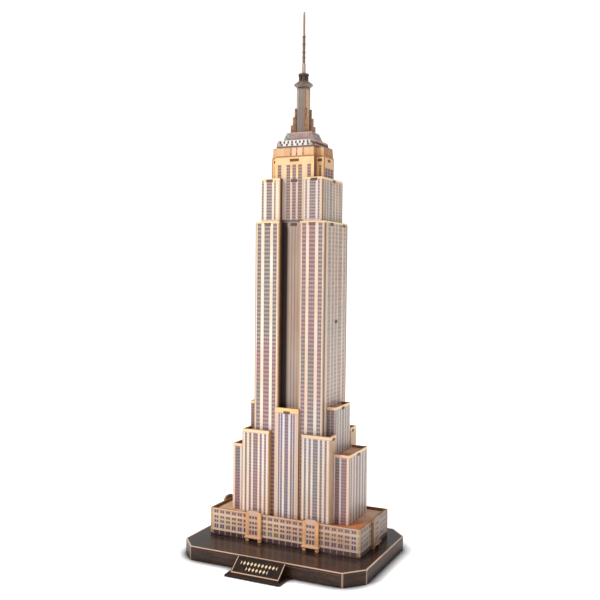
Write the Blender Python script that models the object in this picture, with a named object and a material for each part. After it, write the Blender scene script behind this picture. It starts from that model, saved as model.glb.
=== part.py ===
"""Press-out board model of a stepped skyscraper on an octagonal base.

Every piece is a sheet of printed board, 2 mm thick, flat or folded, or a small turned piece at the
top. Plates with tabs hold the folded walls apart: the end of each tab shows in a slot of the wall.
Lengths in this file are in millimetres and are turned into metres where a mesh is made. X runs along
the long side, the nameplate is at the front (-Y), and Z is up.
"""

import math

import bmesh
import bpy
from mathutils import Matrix

# Board and fits
BOARD = 2.0
GAP = 0.3
TAB = 6.0

# Base tray
BASE_X = 89.5
BASE_FRONT = -73.0
BASE_BACK = 57.5
BASE_CUT_X = 15.5
BASE_CUT_Y = 17.0
BASE_TOP = 12.2

# Nameplate
PLATE_HALF = 23.2
PLATE_FOOT_HALF = 26.2
PLATE_FRONT = -93.5
PLATE_LEAN = 15.4

# Podium
PODIUM_X = 75.4
PODIUM_Y = 35.6
PODIUM_TOP = 37.7
PODIUM_ROOF = 35.4
ENTRANCE_X = 28.8
ENTRANCE_HALF = 7.7
ENTRANCE_PEAK = 40.6
CANOPY = 16.6

# Low wings at the two ends
WING_X = 59.1
WING_Y = 22.8
WING_TOP = 98.0

# Corner blocks
CORNER_X = 44.1
CORNER_INNER_X = 16.5
CORNER_Y = 32.0
CORNER_TOP = 114.6
CORNER_PLATE = 111.5

# Side blocks
SIDE_X = 43.4
SIDE_Y = 17.7
SIDE_TOP = 138.9
SIDE_PLATE = 136.1

# Centre blocks
CENTRE_HALF = 12.0
CENTRE_TOP = 136.5

# Tower shaft
SHAFT_X = 34.6
SHAFT_Y = 26.8
RECESS_X = 10.5
SHAFT_TOP = 305.9
SHAFT_PLATE = 303.4
MIDDLE_PLATE = 215.0
BAY_TAB_X = 22.3

# Upper shaft
UPPER_X = 30.4
UPPER_Y = 23.8
UPPER_RECESS_X = 11.8
UPPER_TOP = 345.3
UPPER_PLATE = 343.2

# Core walls and crown
CORE_Y = 18.2
CORE_HALF = 14.5
CROWN_HALF = 19.5
CROWN_SIDE_X = 26.6
CROWN_SIDE_Y = 11.0
CROWN_TOP = 365.2
CROWN_PLATE = 361.8
BAND_TOP = 374.0
DECK_TOP = 380.2

# Plinth, mast and spire
PLINTH_X = 16.6
PLINTH_Y = 8.8
PLINTH_TOP = 388.5
MAST_HALF = 4.6
MAST_TOP = 430.2
FIN_STEPS = ((11.9, 395.2), (9.95, 402.7), (8.15, 410.9))
COLLAR_TOP = 435.7
LANTERN_TOP = 443.3
SPIRE_TOP = 500.0

MM = 0.001


# Materials

def paint(name, colour, roughness=0.5, metallic=0.0):
    material = bpy.data.materials.new(name)
    material.use_nodes = True
    shader = material.node_tree.nodes["Principled BSDF"]
    shader.inputs["Base Color"].default_value = (*colour, 1.0)
    shader.inputs["Roughness"].default_value = roughness
    shader.inputs["Metallic"].default_value = metallic
    return material


def paints():
    return {
        "facade": paint("facade", (0.70, 0.60, 0.50), 0.42),
        "roof": paint("roof", (0.46, 0.24, 0.12), 0.5),
        "base": paint("base", (0.055, 0.032, 0.026), 0.22),
        "gold": paint("gold", (0.86, 0.62, 0.33), 0.4),
        "core": paint("core", (0.42, 0.33, 0.25), 0.8),
        "deck": paint("deck", (0.62, 0.58, 0.57), 0.45),
        "mast": paint("mast", (0.40, 0.33, 0.31), 0.4),
        "spire": paint("spire", (0.42, 0.30, 0.20), 0.35),
    }


# Mesh makers

def add_object(name, mesh, material):
    item = bpy.data.objects.new(name, mesh)
    item.data.materials.append(material)
    bpy.context.scene.collection.objects.link(item)
    return item


def finished(name, bm, material):
    bmesh.ops.recalc_face_normals(bm, faces=bm.faces)
    mesh = bpy.data.meshes.new(name)
    bm.to_mesh(mesh)
    bm.free()
    return add_object(name, mesh, material)


def cells(boxes, cuts):
    """The grid lines through every box, and the set of grid cells that hold material."""
    lines = []
    for axis in range(3):
        lines.append(sorted({end for box in [*boxes, *cuts] for end in box[axis]}))
    filled = set()
    for i in range(len(lines[0]) - 1):
        for j in range(len(lines[1]) - 1):
            for k in range(len(lines[2]) - 1):
                cell = (i, j, k)
                middle = [(lines[a][cell[a]] + lines[a][cell[a] + 1]) / 2 for a in range(3)]
                held = any(inside(middle, box) for box in boxes)
                if held and not any(inside(middle, box) for box in cuts):
                    filled.add(cell)
    return lines, filled


def inside(point, box):
    return all(low < value < high for value, (low, high) in zip(point, box))


def blocks(name, material, boxes, cuts=()):
    """One closed body from upright boxes that meet or overlap, with other boxes taken out of it."""
    lines, filled = cells(boxes, cuts)
    bm = bmesh.new()
    corners = {}

    def corner(key):
        if key not in corners:
            place = [lines[axis][key[axis]] * MM for axis in range(3)]
            corners[key] = bm.verts.new(place)
        return corners[key]

    for cell in sorted(filled):
        for axis in range(3):
            for side in (0, 1):
                step = [0, 0, 0]
                step[axis] = 2 * side - 1
                if tuple(c + s for c, s in zip(cell, step)) in filled:
                    continue
                u, v = (axis + 1) % 3, (axis + 2) % 3
                ring = []
                for du, dv in ((0, 0), (1, 0), (1, 1), (0, 1)):
                    key = list(cell)
                    key[axis] += side
                    key[u] += du
                    key[v] += dv
                    ring.append(corner(tuple(key)))
                bm.faces.new(ring if side else ring[::-1])
    bmesh.ops.dissolve_limit(bm, angle_limit=0.01, verts=bm.verts, edges=bm.edges)
    return finished(name, bm, material)


def loft(name, material, rings):
    """A closed body through rings of points, each ring with the same number of points."""
    bm = bmesh.new()
    rows = [[bm.verts.new([c * MM for c in point]) for point in ring] for ring in rings]
    for lower, upper in zip(rows, rows[1:]):
        for i in range(len(lower)):
            j = (i + 1) % len(lower)
            bm.faces.new((lower[i], lower[j], upper[j], upper[i]))
    bm.faces.new(rows[0][::-1])
    bm.faces.new(rows[-1])
    return finished(name, bm, material)


def prism(name, material, outline, low, high):
    """An outline in plan, raised from one height to another."""
    return loft(name, material, [[(x, y, z) for x, y in outline] for z in (low, high)])


def turned(name, material, profile, segments=24):
    """A profile of (radius, height), from bottom to top, turned about the Z axis."""
    rings = []
    for radius, height in profile:
        ring = []
        for i in range(segments):
            turn = 2 * math.pi * (i + 0.5) / segments
            ring.append((radius * math.cos(turn), radius * math.sin(turn), height))
        rings.append(ring)
    return loft(name, material, rings)


def combine(item, other, operation):
    """Joins the other object to this one, or cuts it away, and hides it as a helper."""
    modifier = item.modifiers.new(other.name, "BOOLEAN")
    modifier.object = other
    modifier.operation = operation
    modifier.solver = "EXACT"
    other.hide_render = True
    other.display_type = "WIRE"


def flipped(pair, sign):
    """A range of X or Y, mirrored when the sign is negative."""
    return pair if sign > 0 else (-pair[1], -pair[0])


def mirrored(boxes, sign_x, sign_y=1):
    return [(flipped(b[0], sign_x), flipped(b[1], sign_y), b[2]) for b in boxes]


def slot(centre, half, height):
    """The width range and the height range of a slot for one tab."""
    half_board = BOARD / 2 + GAP
    return (centre - half - GAP, centre + half + GAP), (height - half_board, height + half_board)


def sheet(height):
    """The height range of a level plate centred at this height."""
    return (height - BOARD / 2, height + BOARD / 2)


# Base tray

def base_outline():
    x, cut_x, cut_y = BASE_X, BASE_X - BASE_CUT_X, BASE_CUT_Y
    front, back = BASE_FRONT, BASE_BACK
    return [
        (-cut_x, front), (cut_x, front), (x, front + cut_y), (x, back - cut_y),
        (cut_x, back), (-cut_x, back), (-x, back - cut_y), (-x, front + cut_y),
    ]


def inset(outline, depth):
    """A closed outline, counter-clockwise, moved inwards by a depth."""
    moved = []
    for i, point in enumerate(outline):
        before, after = outline[i - 1], outline[(i + 1) % len(outline)]
        first = unit(before, point)
        second = unit(point, after)
        normal = (-first[1] - second[1], first[0] + second[0])
        scale = depth / (1 + first[0] * second[0] + first[1] * second[1])
        moved.append((point[0] + normal[0] * scale, point[1] + normal[1] * scale))
    return moved


def unit(start, end):
    length = math.dist(start, end)
    return ((end[0] - start[0]) / length, (end[1] - start[1]) / length)


def moved_towards(point, other, distance):
    way = unit(point, other)
    return (point[0] + way[0] * distance, point[1] + way[1] * distance)


def base_top(colours):
    top = prism("base_top", colours["base"], base_outline(), BASE_TOP - BOARD, BASE_TOP)
    level = (BASE_TOP - BOARD - 1, BASE_TOP + 1)
    holes = []
    for x in (-50.0, 0.0, 50.0):
        for sign in (-1, 1):
            across = flipped((PODIUM_Y - BOARD - GAP, PODIUM_Y + GAP), sign)
            holes.append(((x - 4 - GAP, x + 4 + GAP), across, level))
    for sign in (-1, 1):
        along = flipped((PODIUM_X - BOARD - GAP, PODIUM_X + GAP), sign)
        holes.append((along, (-4 - GAP, 4 + GAP), level))
    for number, hole in enumerate(holes):
        combine(top, blocks(f"cutter_base_{number}", colours["base"], [hole]), "DIFFERENCE")


def skirts(colours):
    """Four strips under the edge of the top, each folded round one cut corner."""
    outer = base_outline()
    inner = inset(outer, BOARD)
    count = len(outer)
    for name, start in (("front", 0), ("right", 2), ("back", 4), ("left", 6)):
        first, middle, last = start, (start + 1) % count, (start + 2) % count
        path = []
        for ring in (outer, inner):
            begin = moved_towards(ring[first], ring[middle], GAP / 2)
            end = moved_towards(ring[last], ring[middle], GAP / 2)
            path.append([begin, ring[middle], end])
        outline = path[0] + path[1][::-1]
        prism(f"skirt_{name}", colours["base"], outline, 0.0, BASE_TOP - BOARD - GAP)


def base_ribs(colours):
    """Two ribs on edge that carry the middle of the top, halved into each other."""
    high = BASE_TOP - BOARD - GAP
    clear = BOARD / 2 + GAP
    half = BOARD / 2
    reach = BASE_X - BOARD - GAP
    ends = (BASE_FRONT + BOARD + GAP, BASE_BACK - BOARD - GAP)
    long_rib = [((-reach, reach), (-half, half), (0.0, high))]
    long_cut = [((-clear, clear), (-half - 1, half + 1), (high / 2, high + 1))]
    blocks("base_rib_long", colours["core"], long_rib, long_cut)
    cross_rib = [((-half, half), ends, (0.0, high))]
    cross_cut = [((-half - 1, half + 1), (-clear, clear), (-1.0, high / 2 + GAP))]
    blocks("base_rib_cross", colours["core"], cross_rib, cross_cut)


def nameplate(colours):
    """A leaning panel on a flat foot, in front of the base: one folded piece."""
    foot = [(PLATE_FRONT, 0.0), (BASE_FRONT - GAP, 0.0), (BASE_FRONT - GAP, 1.4), (PLATE_FRONT, 1.4)]
    high, low = (BASE_FRONT - 2.6, BASE_TOP), (BASE_FRONT - 2.6 - PLATE_LEAN, 0.6)
    way = unit(low, high)
    back = (way[1] * 1.8, -way[0] * 1.8)
    panel = [low, (low[0] + back[0], low[1] + back[1]), (high[0] + back[0], high[1] + back[1]), high]
    panel[1] = (panel[1][0] + 0.5, 0.6)
    rings = [[(x, y, z) for y, z in panel] for x in (-PLATE_HALF, PLATE_HALF)]
    item = loft("nameplate", colours["base"], rings)
    rings = [[(x, y, z) for y, z in foot] for x in (-PLATE_FOOT_HALF, PLATE_FOOT_HALF)]
    combine(item, loft("helper_nameplate_foot", colours["base"], rings), "UNION")


# Podium

def podium_walls(colours):
    low = BASE_TOP + GAP
    tabs_low = BASE_TOP - BOARD
    for name, sign in (("front", -1), ("back", 1)):
        across = flipped((PODIUM_Y - BOARD, PODIUM_Y), sign)
        wall = [((-PODIUM_X, PODIUM_X), across, (low, PODIUM_TOP))]
        for x in (-50.0, 0.0, 50.0):
            wall.append(((x - 4, x + 4), across, (tabs_low, PODIUM_TOP)))
        cuts = []
        for x in (-ENTRANCE_X, ENTRANCE_X):
            wide, tall = slot(x, TAB / 2, PODIUM_ROOF - BOARD / 2)
            cuts.append((wide, flipped((PODIUM_Y - 3, PODIUM_Y + 1), sign), tall))
        blocks(f"podium_{name}_wall", colours["facade"], wall, cuts)
    reach = PODIUM_Y - BOARD - GAP
    for name, sign in (("left", -1), ("right", 1)):
        along = flipped((PODIUM_X - BOARD, PODIUM_X), sign)
        wall = [(along, (-reach, reach), (low, PODIUM_TOP)), (along, (-4.0, 4.0), (tabs_low, PODIUM_TOP))]
        blocks(f"podium_{name}_wall", colours["facade"], wall)


def podium_roof(colours):
    """The level plate inside the parapet, with slots where the two core walls pass down."""
    level = (PODIUM_ROOF - BOARD, PODIUM_ROOF)
    x, y = PODIUM_X - BOARD - GAP, PODIUM_Y - BOARD - GAP
    roof = [((-x, x), (-y, y), level)]
    for centre in (-ENTRANCE_X, ENTRANCE_X):
        roof.append(((centre - TAB / 2, centre + TAB / 2), (-PODIUM_Y, PODIUM_Y), level))
    cuts = []
    for sign in (-1, 1):
        across = flipped((CORE_Y - BOARD - GAP, CORE_Y + GAP), sign)
        cuts.append(((-CORE_HALF - GAP, CORE_HALF + GAP), across, (level[0] - 1, level[1] + 1)))
    blocks("podium_roof", colours["roof"], roof, cuts)


def entrance(colours, name, centre, turn):
    """A raised panel with a peaked top, a canopy and a doorway, standing against a podium wall."""
    half, low, shoulder = ENTRANCE_HALF, BASE_TOP + GAP, PODIUM_TOP + 0.6
    door = 4.6
    outline = [
        (-half, low), (-door, low), (-door, CANOPY - 0.8), (door, CANOPY - 0.8), (door, low),
        (half, low), (half, shoulder), (4.0, ENTRANCE_PEAK), (-4.0, ENTRANCE_PEAK), (-half, shoulder),
    ]
    reach = PODIUM_Y if turn % 180 == 0 else PODIUM_X
    back, front = -reach - GAP, -reach - GAP - BOARD
    item = loft(name, colours["gold"], [[(x, y, z) for x, z in outline] for y in (back, front)])
    lip = ((-half - 0.6, half + 0.6), (front - 1.6, back), (CANOPY - 0.8, CANOPY + 0.4))
    combine(item, blocks(f"helper_{name}", colours["gold"], [lip]), "UNION")
    place = Matrix.Translation((centre[0] * MM, centre[1] * MM, 0)) @ Matrix.Rotation(math.radians(turn), 4, "Z")
    for thing in (item, bpy.data.objects[f"helper_{name}"]):
        thing.data.transform(place)


def entrances(colours):
    for side, sign in (("left", -1), ("right", 1)):
        entrance(colours, f"entrance_front_{side}", (sign * ENTRANCE_X, 0), 0)
        entrance(colours, f"entrance_back_{side}", (sign * ENTRANCE_X, 0), 180)
    entrance(colours, "entrance_right", (0, 0), 90)
    entrance(colours, "entrance_left", (0, 0), 270)


# Set-back blocks

def wings(colours):
    low = PODIUM_ROOF + GAP
    height = WING_TOP - 3.0
    inner = CORNER_X + GAP
    for name, sign in (("left", -1), ("right", 1)):
        walls = [
            ((inner, WING_X), (-WING_Y, BOARD - WING_Y), (low, WING_TOP)),
            ((inner, WING_X), (WING_Y - BOARD, WING_Y), (low, WING_TOP)),
            ((WING_X - BOARD, WING_X), (-WING_Y, WING_Y), (low, WING_TOP)),
        ]
        wide, tall = slot(0.0, TAB / 2, height)
        cuts = [((WING_X - BOARD - 1, WING_X + 1), wide, tall)]
        shell = mirrored(walls, sign), mirrored(cuts, sign)
        blocks(f"wing_{name}", colours["facade"], *shell)
        edge = WING_Y - BOARD - GAP
        roof = [
            ((inner, WING_X - BOARD - GAP), (-edge, edge), sheet(height)),
            ((inner, WING_X), (-TAB / 2, TAB / 2), sheet(height)),
        ]
        blocks(f"wing_{name}_roof", colours["roof"], mirrored(roof, sign))


def corner_blocks(colours):
    """Four folded walls round the corners of the tower, and the two plates that tie them in pairs."""
    low, high = PODIUM_ROOF + GAP, CORNER_TOP
    back = -SHAFT_Y - GAP
    walls = [
        ((CORNER_INNER_X, CORNER_INNER_X + BOARD), (-CORNER_Y, back), (low, high)),
        ((CORNER_INNER_X, CORNER_X), (-CORNER_Y, BOARD - CORNER_Y), (low, high)),
        ((CORNER_X - BOARD, CORNER_X), (-CORNER_Y, -SIDE_Y - GAP), (low, high)),
    ]
    wide, tall = slot(-23.2, TAB / 2 - 0.5, CORNER_PLATE)
    cuts = [((CORNER_X - BOARD - 1, CORNER_X + 1), wide, tall)]
    for x_name, sign_x in (("left", -1), ("right", 1)):
        for y_name, sign_y in (("front", 1), ("back", -1)):
            name = f"corner_block_{y_name}_{x_name}"
            boxes = mirrored(walls, sign_x, sign_y)
            blocks(name, colours["facade"], boxes, mirrored(cuts, sign_x, sign_y))


def corner_plates(colours):
    """Each plate closes two corner blocks, and its neck runs through the side block between them."""
    level = sheet(CORNER_PLATE)
    edge_y = -CORNER_Y + BOARD + GAP
    edge_x = CORNER_X - BOARD - GAP
    half = [
        ((CORNER_INNER_X + BOARD + GAP, edge_x), (edge_y, -SHAFT_Y - GAP), level),
        ((SHAFT_X + GAP, edge_x), (edge_y, -SIDE_Y - GAP), level),
        ((edge_x - 1, CORNER_X), (-23.2 - TAB / 2 + 0.5, -23.2 + TAB / 2 - 0.5), level),
    ]
    neck = [((35.6, 41.0), (-SIDE_Y - GAP - 1, SIDE_Y + GAP + 1), level)]
    for name, sign in (("left", -1), ("right", 1)):
        boxes = mirrored(half, sign) + mirrored(half, sign, -1) + mirrored(neck, sign)
        blocks(f"corner_plate_{name}", colours["roof"], boxes)


def side_blocks(colours):
    low, high = PODIUM_ROOF + GAP, SIDE_TOP
    inner = SHAFT_X + GAP
    walls = [
        ((inner, SIDE_X), (-SIDE_Y, BOARD - SIDE_Y), (low, high)),
        ((inner, SIDE_X), (SIDE_Y - BOARD, SIDE_Y), (low, high)),
        ((SIDE_X - BOARD, SIDE_X), (-SIDE_Y, SIDE_Y), (low, high)),
    ]
    wide, tall = slot(0.0, TAB / 2, SIDE_PLATE)
    cuts = [((SIDE_X - BOARD - 1, SIDE_X + 1), wide, tall)]
    tall = slot(0.0, TAB / 2, CORNER_PLATE)[1]
    cuts.append(((35.6 - GAP, 41.0 + GAP), (-SIDE_Y - 1, SIDE_Y + 1), tall))
    for name, sign in (("left", -1), ("right", 1)):
        blocks(f"side_block_{name}", colours["facade"], mirrored(walls, sign), mirrored(cuts, sign))


def side_plate(colours):
    """One plate across the tower: its ends are the roofs of both side blocks."""
    level = sheet(SIDE_PLATE)
    inner = CORE_Y - BOARD - GAP
    reach = SIDE_X - BOARD - GAP
    boxes = [
        ((-reach, reach), (-12.0, 12.0), level),
        ((-SIDE_X, SIDE_X), (-TAB / 2, TAB / 2), level),
        ((GAP + SHAFT_X, reach), (-SIDE_Y + BOARD + GAP, SIDE_Y - BOARD - GAP), level),
        ((-reach, -GAP - SHAFT_X), (-SIDE_Y + BOARD + GAP, SIDE_Y - BOARD - GAP), level),
        ((-SHAFT_X + BOARD + GAP, SHAFT_X - BOARD - GAP), (-inner, inner), level),
    ]
    blocks("side_plate", colours["roof"], boxes)


def centre_blocks(colours):
    """The panels that fill the foot of each recess, and the level ledges behind their tops."""
    low = PODIUM_ROOF + GAP
    near = SHAFT_Y + GAP
    for name, sign in (("front", -1), ("back", 1)):
        panel = [((-CENTRE_HALF, CENTRE_HALF), flipped((near, near + BOARD), sign), (low, CENTRE_TOP))]
        wide, tall = slot(0.0, TAB / 2, 132.5)
        cuts = [(wide, flipped((near - 1, near + BOARD + 1), sign), tall)]
        blocks(f"centre_block_{name}", colours["facade"], panel, cuts)
        ledge = [
            ((GAP - RECESS_X, RECESS_X - GAP), flipped((CORE_Y + GAP, SHAFT_Y), sign), sheet(132.5)),
            ((-TAB / 2, TAB / 2), flipped((CORE_Y + GAP, near + BOARD), sign), sheet(132.5)),
        ]
        blocks(f"centre_ledge_{name}", colours["gold"], ledge)


# Tower

def core_walls(colours):
    """Two tall walls from the base to the crown: narrow in the recesses, wide at the crown."""
    for name, sign in (("front", -1), ("back", 1)):
        across = flipped((CORE_Y - BOARD, CORE_Y), sign)
        through = flipped((CORE_Y - BOARD - 1, CORE_Y + 1), sign)
        wall = [
            ((-CORE_HALF, CORE_HALF), across, (BASE_TOP + GAP, CROWN_TOP)),
            ((-CROWN_HALF, CROWN_HALF), across, (UPPER_TOP + GAP, CROWN_TOP)),
        ]
        cuts = []
        for height, half in ((SHAFT_PLATE, 3.0), (UPPER_PLATE, 3.0), (CROWN_PLATE, 4.3)):
            wide, tall = slot(0.0, half, height)
            cuts.append((wide, through, tall))
        blocks(f"core_wall_{name}", colours["facade"], wall, cuts)


def folded_shell(half_x, half_y, recess, inner, low, high):
    """The walls of half a shaft: side wall, two bays, and the returns beside the recesses."""
    walls = [((half_x - BOARD, half_x), (-half_y, half_y), (low, high))]
    for sign in (-1, 1):
        walls.append(((recess, half_x), flipped((half_y - BOARD, half_y), sign), (low, high)))
        walls.append(((recess, recess + BOARD), flipped((inner, half_y), sign), (low, high)))
    return walls


def bay_slots(half_x, half_y, height, side_tabs):
    """Slots for the tabs of one plate, through both bays and the side wall."""
    wide, tall = slot(BAY_TAB_X, TAB / 2, height)
    cuts = [(wide, flipped((half_y - BOARD - 1, half_y + 1), sign), tall) for sign in (-1, 1)]
    for y in side_tabs:
        wide, tall = slot(y, TAB / 2, height)
        cuts.append(((half_x - BOARD - 1, half_x + 1), wide, tall))
    return cuts


SHAFT_SIDE_TABS = (-10.5, 18.5)


def shaft_shells(colours):
    walls = folded_shell(SHAFT_X, SHAFT_Y, RECESS_X, CORE_Y + GAP, PODIUM_ROOF + GAP, SHAFT_TOP)
    cuts = bay_slots(SHAFT_X, SHAFT_Y, SHAFT_PLATE, SHAFT_SIDE_TABS)
    wide, tall = slot(1.5, TAB / 2, MIDDLE_PLATE)
    cuts.append(((SHAFT_X - BOARD - 1, SHAFT_X + 1), wide, tall))
    tall = slot(0.0, TAB / 2, SIDE_PLATE)[1]
    cuts.append(((SHAFT_X - BOARD - 1, SHAFT_X + 1), (-12.0 - GAP, 12.0 + GAP), tall))
    for name, sign in (("left", -1), ("right", 1)):
        blocks(f"shaft_{name}", colours["facade"], mirrored(walls, sign), mirrored(cuts, sign))


def upper_shells(colours):
    low = SHAFT_PLATE + BOARD / 2 + GAP
    walls = folded_shell(UPPER_X, UPPER_Y, UPPER_RECESS_X, CORE_Y + GAP, low, UPPER_TOP)
    cuts = bay_slots(UPPER_X, UPPER_Y, UPPER_PLATE, (3.7,))
    return_edge = RECESS_X + BOARD + GAP
    cuts.append(((RECESS_X, return_edge), (-UPPER_Y - 1, UPPER_Y + 1), (low - 1, SHAFT_TOP + GAP)))
    for name, sign in (("left", -1), ("right", 1)):
        blocks(f"upper_shaft_{name}", colours["facade"], mirrored(walls, sign), mirrored(cuts, sign))


def shaft_plate(colours, name, half_x, half_y, recess, height, side_tabs):
    """A level plate in the shape of an H that fills the bays and passes between the core walls."""
    level = sheet(height)
    x, y = half_x - BOARD - GAP, half_y - BOARD - GAP
    arm = max(recess + BOARD, CORE_HALF) + GAP
    core = CORE_Y - BOARD - GAP
    boxes = [((-x, x), (-core, core), level), ((-3.0, 3.0), (-CORE_Y, CORE_Y), level)]
    for sign in (-1, 1):
        boxes += mirrored([((arm, x), (-y, y), level)], sign)
        tab = (BAY_TAB_X - TAB / 2, BAY_TAB_X + TAB / 2)
        boxes += mirrored([(tab, (-half_y, half_y), level)], sign)
        for centre in side_tabs:
            boxes += mirrored([((x - 1, half_x), (centre - TAB / 2, centre + TAB / 2), level)], sign)
    blocks(name, colours["roof"], boxes)


def middle_plate(colours):
    """A stiffening plate half way up the shaft."""
    level = sheet(MIDDLE_PLATE)
    core = CORE_Y - BOARD - GAP
    x = SHAFT_X - BOARD - GAP
    boxes = [((-x, x), (-core, core), level)]
    for sign in (-1, 1):
        boxes += mirrored([((x - 1, SHAFT_X), (1.5 - TAB / 2, 1.5 + TAB / 2), level)], sign)
    blocks("middle_plate", colours["core"], boxes)


# Crown and deck

def crown_shells(colours):
    """A folded wall on each side of the crown, with returns that meet the heads of the core walls."""
    low = UPPER_PLATE + BOARD / 2 + GAP
    x, y, inner = CROWN_SIDE_X, CROWN_SIDE_Y, CROWN_HALF - 0.4
    walls = [
        ((x - BOARD, x), (-y, y), (low, CROWN_TOP)),
        ((inner - BOARD, x), (-y, BOARD - y), (low, CROWN_TOP)),
        ((inner - BOARD, x), (y - BOARD, y), (low, CROWN_TOP)),
    ]
    for sign in (-1, 1):
        across = flipped((y - BOARD, CORE_Y - BOARD - GAP), sign)
        walls.append(((inner - BOARD, inner), across, (low, CROWN_TOP)))
    wide, tall = slot(0.0, 2.7, CROWN_PLATE)
    cuts = [((x - BOARD - 1, x + 1), wide, tall)]
    wide, tall = slot(22.3, 2.0, CROWN_PLATE)
    cuts.append((wide, (-y - 1, y + 1), tall))
    for name, sign in (("left", -1), ("right", 1)):
        boxes = mirrored(walls, sign)
        blocks(f"crown_{name}", colours["gold"], boxes, mirrored(cuts, sign))


def crown_plate(colours):
    level = sheet(CROWN_PLATE)
    x, y = CROWN_SIDE_X - BOARD - GAP, CROWN_SIDE_Y - BOARD - GAP
    core = CORE_Y - BOARD - GAP
    boxes = [
        ((-x, x), (-y, y), level),
        ((-16.5, 16.5), (-core, core), level),
        ((-4.3, 4.3), (-CORE_Y, CORE_Y), level),
        ((-CROWN_SIDE_X, CROWN_SIDE_X), (-2.7, 2.7), level),
    ]
    for sign in (-1, 1):
        boxes += mirrored([((20.3, 24.3), (-CROWN_SIDE_Y, CROWN_SIDE_Y), level)], sign)
    blocks("crown_plate", colours["roof"], boxes)


def cross_ring(half_x, half_y, side_x, side_y, height):
    """The outline of a cross in plan, at one height."""
    quarter = [(side_x, side_y), (half_x, side_y), (half_x, half_y)]
    points = list(quarter)
    points += [(-x, y) for x, y in reversed(quarter)]
    points += [(-x, -y) for x, y in quarter]
    points += [(x, -y) for x, y in reversed(quarter)]
    return [(x, y, height) for x, y in points]


def crown_band(colours):
    """The gold band above the crown: it leans in a little and is closed on top."""
    low, high = CROWN_TOP + GAP, BAND_TOP
    outer = [
        cross_ring(19.2, 17.9, 26.0, 10.8, low),
        cross_ring(18.7, 17.3, 25.4, 10.3, high),
    ]
    inner = [
        cross_ring(17.2, 15.9, 24.0, 8.8, low - 1),
        cross_ring(16.7, 15.3, 23.4, 8.3, high - BOARD),
    ]
    band = loft("crown_band", colours["gold"], outer)
    combine(band, loft("cutter_crown_band", colours["gold"], inner), "DIFFERENCE")


def octagon(half_x, half_y, cut, height):
    points = [
        (half_x, cut - half_y), (half_x, half_y - cut), (half_x - cut, half_y), (cut - half_x, half_y),
        (-half_x, half_y - cut), (-half_x, cut - half_y), (cut - half_x, -half_y), (half_x - cut, -half_y),
    ]
    return [(x, y, height) for x, y in points]


def deck(colours):
    """The viewing deck: a low leaning parapet round a level floor."""
    low = BAND_TOP + GAP
    body = [octagon(19.2, 17.8, 1.4, low), octagon(18.3, 17.0, 1.8, DECK_TOP)]
    under = [octagon(17.2, 15.8, 1.4, low - 1), octagon(16.8, 15.4, 1.4, DECK_TOP - 3.4)]
    above = [octagon(16.9, 15.6, 1.4, DECK_TOP - 1.4), octagon(16.9, 15.6, 1.4, DECK_TOP + 1)]
    item = loft("deck", colours["deck"], body)
    combine(item, loft("cutter_deck_under", colours["deck"], under), "DIFFERENCE")
    combine(item, loft("cutter_deck_above", colours["deck"], above), "DIFFERENCE")


# Mast

def plinth(colours):
    """The foot of the mast: a box whose left and right ends slope in towards the top."""
    low, middle, high = DECK_TOP - 1.4 + GAP, DECK_TOP + 0.6, PLINTH_TOP
    right = [(PLINTH_X, low), (PLINTH_X - 0.4, middle), (PLINTH_X - 4.4, high)]
    outline = right + [(-x, z) for x, z in reversed(right)]
    rings = [[(x, y, z) for x, z in outline] for y in (-PLINTH_Y, PLINTH_Y)]
    item = loft("plinth", colours["deck"], rings)
    x, y = PLINTH_X - 5.5, PLINTH_Y - BOARD
    hollow = [((-x, x), (-y, y), (low - 1, high - BOARD))]
    combine(item, blocks("cutter_plinth", colours["deck"], hollow), "DIFFERENCE")


def mast(colours):
    low = PLINTH_TOP + GAP
    outer, inner = MAST_HALF, MAST_HALF - 1.4
    shaft = [((-outer, outer), (-outer, outer), (low, MAST_TOP))]
    hollow = [((-inner, inner), (-inner, inner), (low - 1, MAST_TOP + 1))]
    blocks("mast_shaft", colours["mast"], shaft, hollow)


def mast_fins(colours):
    """Four stepped fins on the diagonals, each standing off one corner of the mast."""
    low = PLINTH_TOP + GAP
    start = MAST_HALF * math.sqrt(2) + GAP
    outline = [(start, low)]
    floor = low
    for reach, top in FIN_STEPS:
        outline += [(reach, floor), (reach, top)]
        floor = top
    outline.append((start, floor))
    names = ("back_right", "back_left", "front_left", "front_right")
    for number, name in enumerate(names):
        rings = [[(x, y, z) for x, z in outline] for y in (-BOARD / 2, BOARD / 2)]
        fin = loft(f"mast_fin_{name}", colours["mast"], rings)
        fin.data.transform(Matrix.Rotation(math.radians(45 + 90 * number), 4, "Z"))


def collar(colours):
    low = MAST_TOP + GAP
    profile = [
        (6.4, low), (8.4, low + 1.6), (9.0, low + 2.2), (8.6, low + 2.8), (5.6, COLLAR_TOP),
    ]
    turned("mast_collar", colours["mast"], profile)


def lantern(colours):
    """The lantern: a dark core between a sill and a cap, with eight posts round it."""
    low, high = COLLAR_TOP + GAP, LANTERN_TOP
    core = [
        (4.5, low), (4.5, low + 0.9), (3.0, low + 0.9), (3.0, high - 1.9),
        (4.9, high - 1.9), (4.9, high - 0.4), (4.2, high),
    ]
    item = turned("lantern", colours["spire"], core)
    for number in range(8):
        post = [((3.4, 4.4), (-0.45, 0.45), (low + 0.5, high - 1.2))]
        part = blocks(f"helper_post_{number}", colours["spire"], post)
        part.data.transform(Matrix.Rotation(math.radians(22.5 + 45 * number), 4, "Z"))
        combine(item, part, "UNION")


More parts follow.
